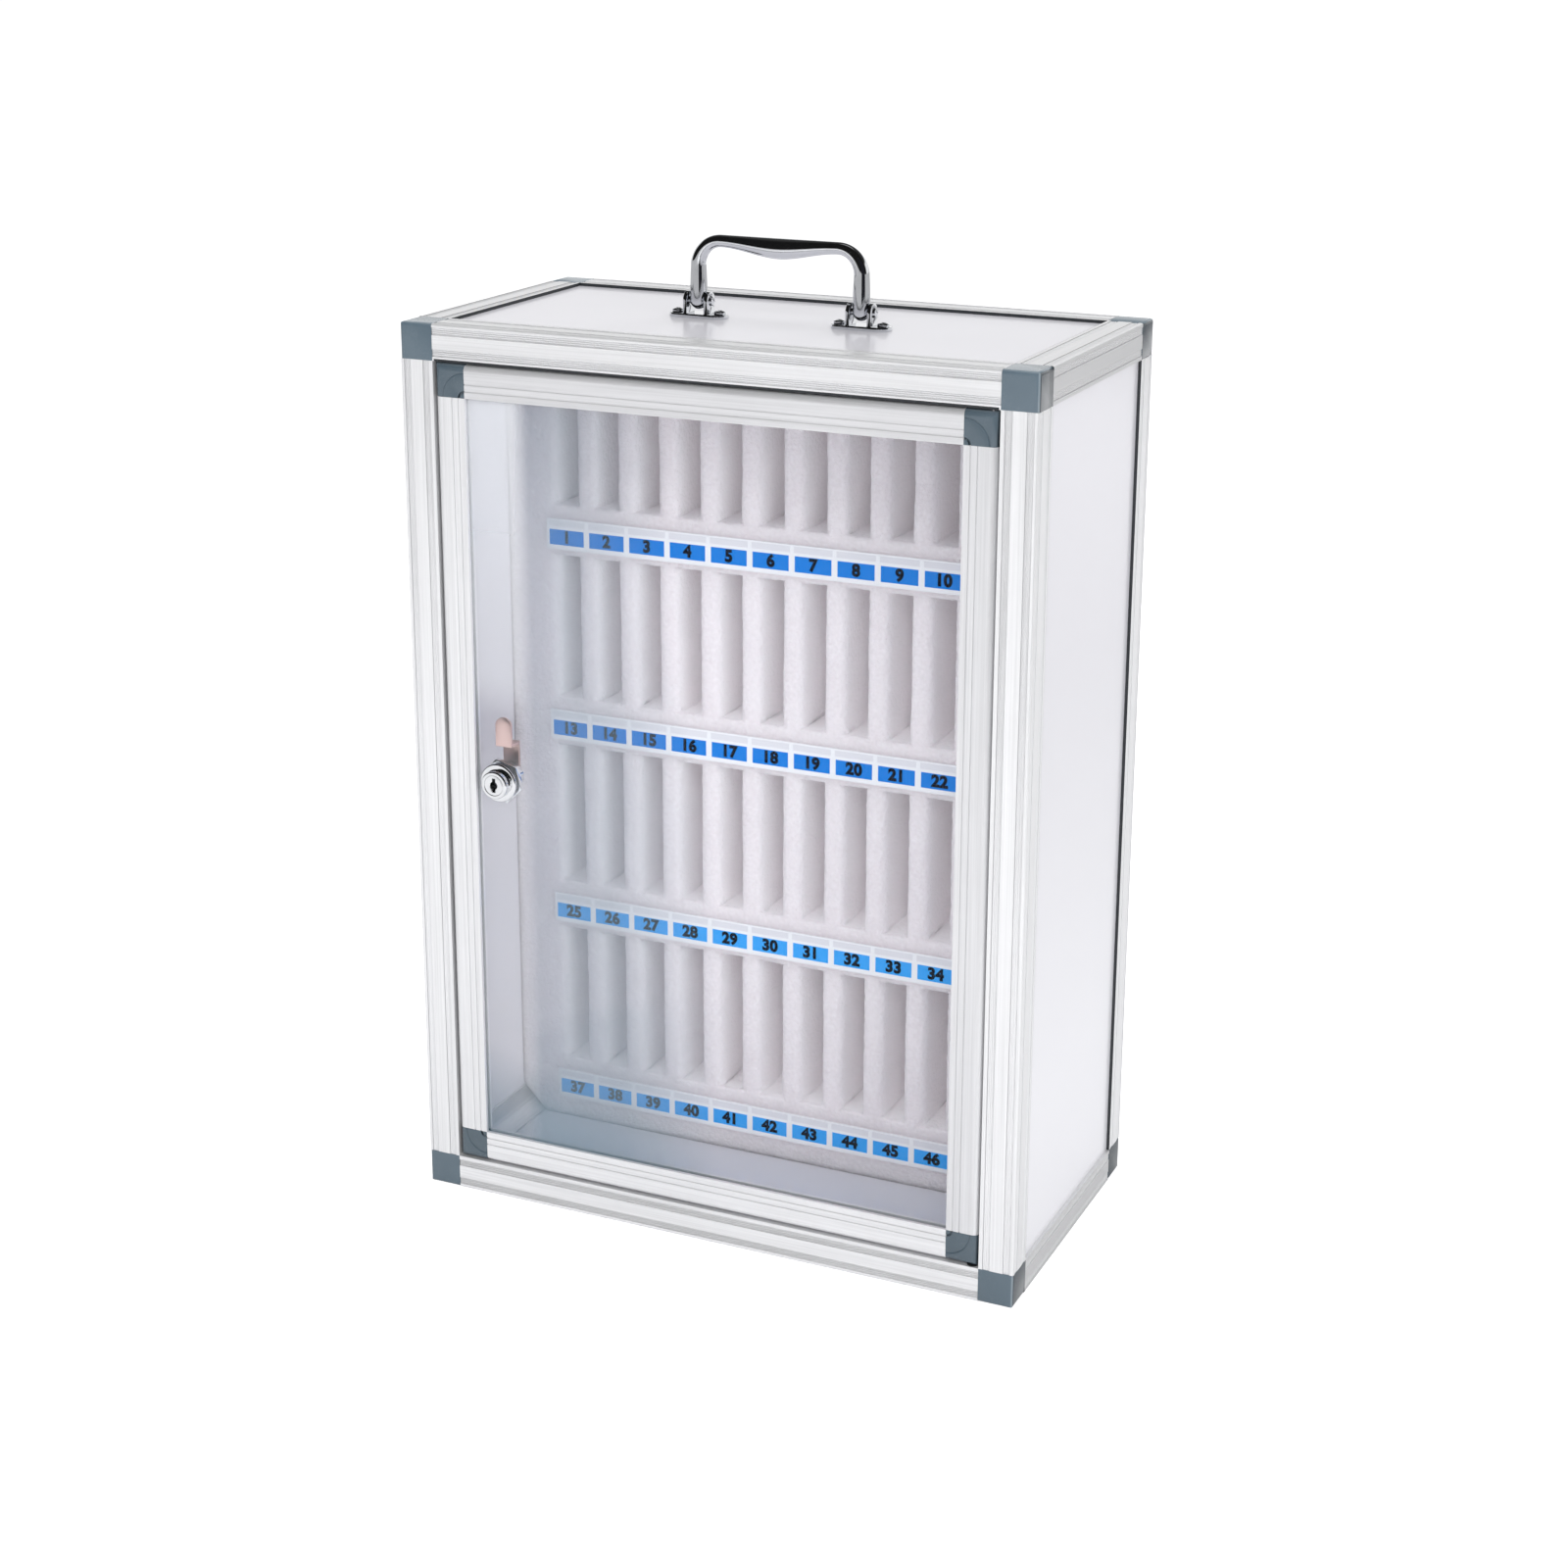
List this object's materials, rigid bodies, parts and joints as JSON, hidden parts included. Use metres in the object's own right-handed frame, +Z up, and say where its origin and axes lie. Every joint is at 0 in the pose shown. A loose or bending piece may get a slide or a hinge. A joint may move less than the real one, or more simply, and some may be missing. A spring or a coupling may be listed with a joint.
{
  "type": "phone locker box",
  "caption": "Upright aluminium-framed locker box with a glazed door and cam lock, a foam rack of numbered phone slots inside and a folding carry handle on top.",
  "frame": {"origin": "centre of the case's footprint, on the surface that it stands on", "axes": "+Z up along the case's height, the door on the -Y side with its hinge towards +X, the back panel on the +Y side"},
  "size_m": [0.4, 0.2096, 0.608],
  "materials": {
    "frame_aluminium": "satin",
    "door_aluminium": "satin",
    "corner_plastic": "satin",
    "panel_sheet": "satin",
    "foam": "matte",
    "label_card": "satin",
    "clear_pane": "polished",
    "lock_chrome": "polished",
    "cam_metal": "satin",
    "handle_chrome": "polished",
    "steel_fasteners": "satin",
    "bush_plastic": "matte"
  },
  "bodies": {
    "case": {"post_front_left": "frame_aluminium", "post_front_right": "frame_aluminium", "post_back_left": "frame_aluminium", "post_back_right": "frame_aluminium", "rail_front_top": "frame_aluminium", "rail_front_bottom": "frame_aluminium", "rail_back_top": "frame_aluminium", "rail_back_bottom": "frame_aluminium", "rail_left_top": "frame_aluminium", "rail_left_bottom": "frame_aluminium", "rail_right_top": "frame_aluminium", "rail_right_bottom": "frame_aluminium", "corner_front_top_left": "corner_plastic", "corner_front_top_right": "corner_plastic", "corner_front_bottom_left": "corner_plastic", "corner_front_bottom_right": "corner_plastic", "corner_back_top_left": "corner_plastic", "corner_back_top_right": "corner_plastic", "corner_back_bottom_left": "corner_plastic", "corner_back_bottom_right": "corner_plastic", "panel_top": "panel_sheet", "panel_bottom": "panel_sheet", "panel_left": "panel_sheet", "panel_right": "panel_sheet", "panel_back": "panel_sheet", "foam_back_sheet": "foam", "foam_bands": "foam", "foam_row_1": "foam", "foam_row_2": "foam", "foam_row_3": "foam", "foam_row_4": "foam", "label_strip_1": "label_card", "label_strip_2": "label_card", "label_strip_3": "label_card", "label_strip_4": "label_card", "handle_bracket_left": "handle_chrome", "handle_bracket_right": "handle_chrome", "handle_screws": "steel_fasteners", "handle_nuts": "steel_fasteners", "handle_pins": "steel_fasteners", "hinge_bushes": "bush_plastic"},
    "door": {"door_stile_lock_side": "door_aluminium", "door_stile_hinge_side": "door_aluminium", "door_rail_top": "door_aluminium", "door_rail_bottom": "door_aluminium", "door_corner_top_left": "corner_plastic", "door_corner_top_right": "corner_plastic", "door_corner_bottom_left": "corner_plastic", "door_corner_bottom_right": "corner_plastic", "door_pane": "clear_pane", "hinge_pins": "steel_fasteners", "lock_housing": "lock_chrome", "lock_nut": "lock_chrome"},
    "lock_cylinder": {"lock_core": "lock_chrome", "lock_cam": "cam_metal", "cam_screw": "steel_fasteners"},
    "handle": {"handle_bail": "handle_chrome"}
  },
  "joints": [
    {"name": "door_hinge", "type": "hinge", "parent": "case", "child": "door", "pos_m": [0.173, -0.0985, 0.28], "axis": [0, 0, 1], "range_deg": [0, 100]},
    {"name": "lock_turn", "type": "hinge", "parent": "door", "child": "lock_cylinder", "pos_m": [-0.142, -0.1, 0.28], "axis": [0, -1, 0], "range_deg": [0, 90]},
    {"name": "handle_fold", "type": "hinge", "parent": "case", "child": "handle", "pos_m": [0, 0, 0.568], "axis": [1, 0, 0], "range_deg": [-95, 95]}
  ]
}
